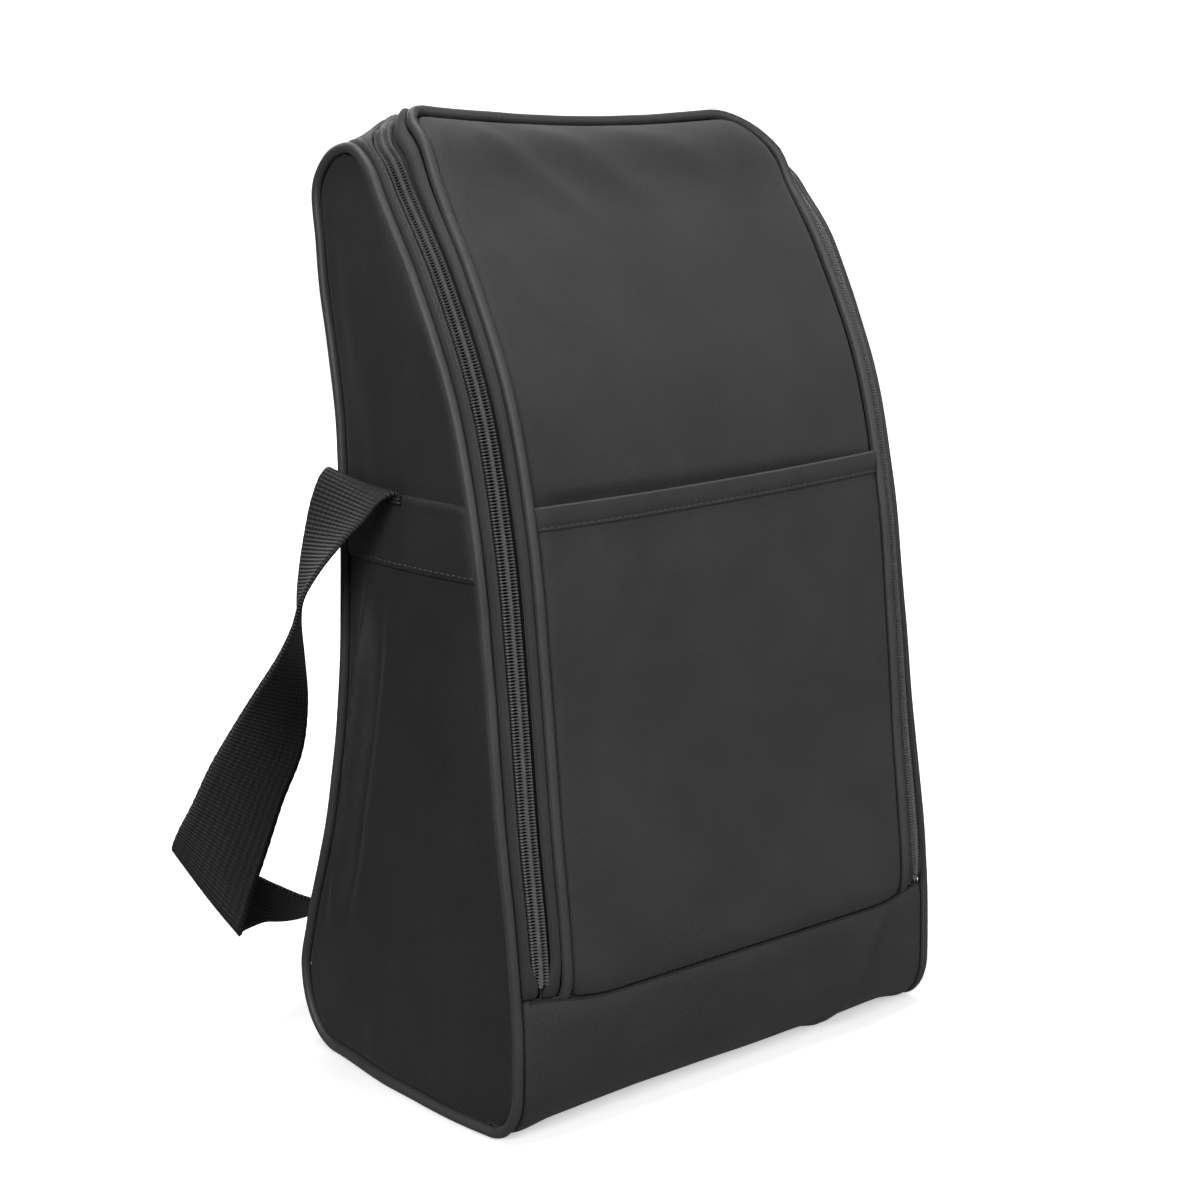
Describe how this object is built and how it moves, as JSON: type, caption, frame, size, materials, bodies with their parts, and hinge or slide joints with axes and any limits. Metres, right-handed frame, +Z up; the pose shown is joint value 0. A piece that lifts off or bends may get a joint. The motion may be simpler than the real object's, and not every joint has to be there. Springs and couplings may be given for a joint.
{
  "type": "golf shoe bag",
  "caption": "Upright black padded shoe bag with a zipped front door, a slip pocket, piped edges and a webbing carry strap.",
  "frame": {"origin": "middle of the flat base, on the surface the bag stands on", "axes": "+Z up, the door faces -Y, X across the bag"},
  "size_m": [0.316, 0.1936, 0.3628],
  "materials": {
    "cloth": "black coated woven polyester with a fine plain weave",
    "pocket_cloth": "the same cloth, turned over at the mouth and stitched",
    "piping": "black cloth wrapped round a plastic cord, slightly shiny on its crest",
    "lining": "thin black woven lining",
    "foam": "thin closed-cell foam padding, not seen",
    "board": "stiffening board, not seen",
    "zip_coil": "black nylon coil teeth",
    "tape": "black woven tape",
    "zip_metal": "black painted die-cast metal",
    "webbing": "black ribbed polyester webbing"
  },
  "bodies": {
    "bag": {"back_foam": "foam", "back_lining": "lining", "back_panel": "cloth", "base_board": "board", "base_lining": "lining", "base_panel": "cloth", "cross_strip_left": "cloth", "cross_strip_right": "cloth", "front_band": "cloth", "outer_band": "cloth", "seam_tape": "tape", "side_foam_left": "foam", "side_foam_right": "foam", "side_lining_left": "lining", "side_lining_right": "lining", "side_panel_left": "cloth", "side_panel_right": "cloth", "side_piping_left": "piping", "side_piping_right": "piping", "strap_end_left": "webbing", "strap_end_right": "webbing", "zip_coil_body": "zip_coil", "zip_tape_body": "tape"},
    "door": {"inner_band": "cloth", "zip_tape_door": "tape", "zip_coil_door": "zip_coil", "door_panel": "cloth", "door_foam": "foam", "door_lining": "lining", "door_piping": "piping", "pocket_panel": "pocket_cloth", "pocket_hem": "pocket_cloth"},
    "strap": {"carry_strap": "webbing"},
    "slider_left": {"zip_slider_left": "zip_metal"},
    "slider_right": {"zip_slider_right": "zip_metal"},
    "pull_left": {"pull_tab_left": "zip_metal"},
    "pull_right": {"pull_tab_right": "zip_metal"}
  },
  "joints": [
    {"name": "door_hinge", "type": "hinge", "parent": "bag", "child": "door", "pos_m": [0, -0.0722, 0.051], "axis": [1, 0, 0], "range_deg": [0, 100]},
    {"name": "strap_swing", "type": "hinge", "parent": "bag", "child": "strap", "pos_m": [0, 0.015, 0.233], "axis": [1, 0, 0], "range_deg": [0, 155]},
    {"name": "slider_slide_left", "type": "slide", "parent": "bag", "child": "slider_left", "axis": [-0.9962, 0, 0.0866], "range_m": [0, 0.058]},
    {"name": "slider_slide_right", "type": "slide", "parent": "bag", "child": "slider_right", "axis": [0.9962, 0, 0.0866], "range_m": [0, 0.058]},
    {"name": "pull_hinge_left", "type": "hinge", "parent": "slider_left", "child": "pull_left", "pos_m": [-0.00818, 0.03167, 0.3578], "axis": [-0.0352, 0.9138, -0.4046], "range_deg": [0, 110]},
    {"name": "pull_hinge_right", "type": "hinge", "parent": "slider_right", "child": "pull_right", "pos_m": [0.00818, 0.03167, 0.3578], "axis": [-0.0352, -0.9138, 0.4046], "range_deg": [0, 110]}
  ]
}
